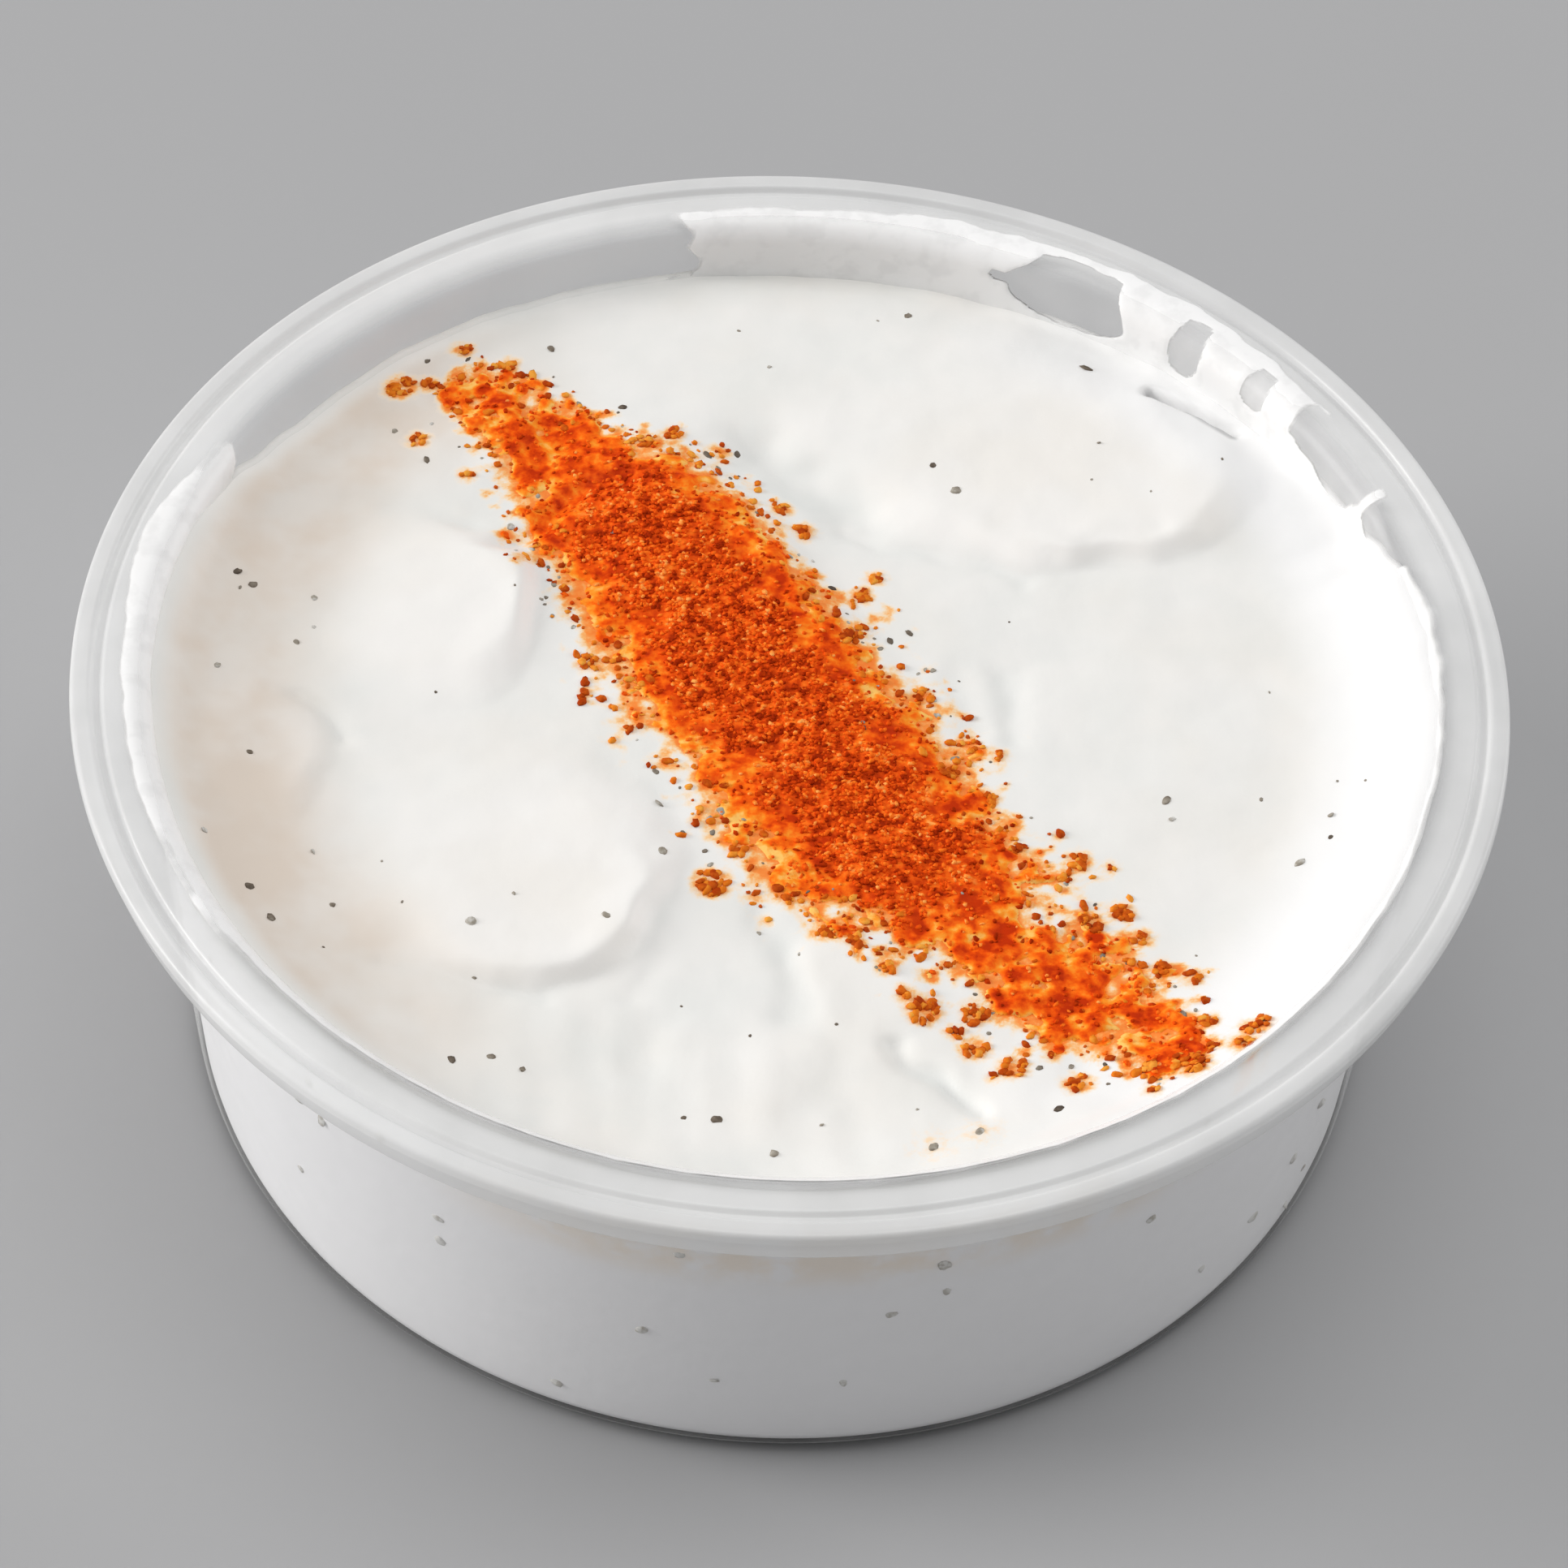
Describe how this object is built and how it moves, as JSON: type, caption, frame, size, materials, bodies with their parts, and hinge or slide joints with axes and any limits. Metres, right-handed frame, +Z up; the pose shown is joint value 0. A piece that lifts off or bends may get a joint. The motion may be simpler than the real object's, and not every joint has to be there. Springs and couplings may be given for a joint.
{
  "type": "tub of tzatziki dip",
  "caption": "Shallow round translucent plastic tub filled nearly to its rim with white tzatziki dip, dusted with a stripe of red spice.",
  "frame": {"origin": "centre of the tub's footprint, on the plane its foot ring rests on", "axes": "+Z up through the middle of the tub, -Y towards the side seen in front, +X to the right of that view"},
  "size_m": [0.116, 0.116, 0.0398],
  "materials": {
    "clear_plastic": "thin translucent polypropylene, slightly milky, smooth gloss",
    "dip": "thick strained yoghurt, moist and softly glossy, with fine grain",
    "red_spice": "dry ground red pepper, coarse powder",
    "dark_herb": "small dark flecks of herb and pepper"
  },
  "bodies": {
    "root": {"tub": "clear_plastic", "tzatziki": "dip"}
  },
  "joints": []
}
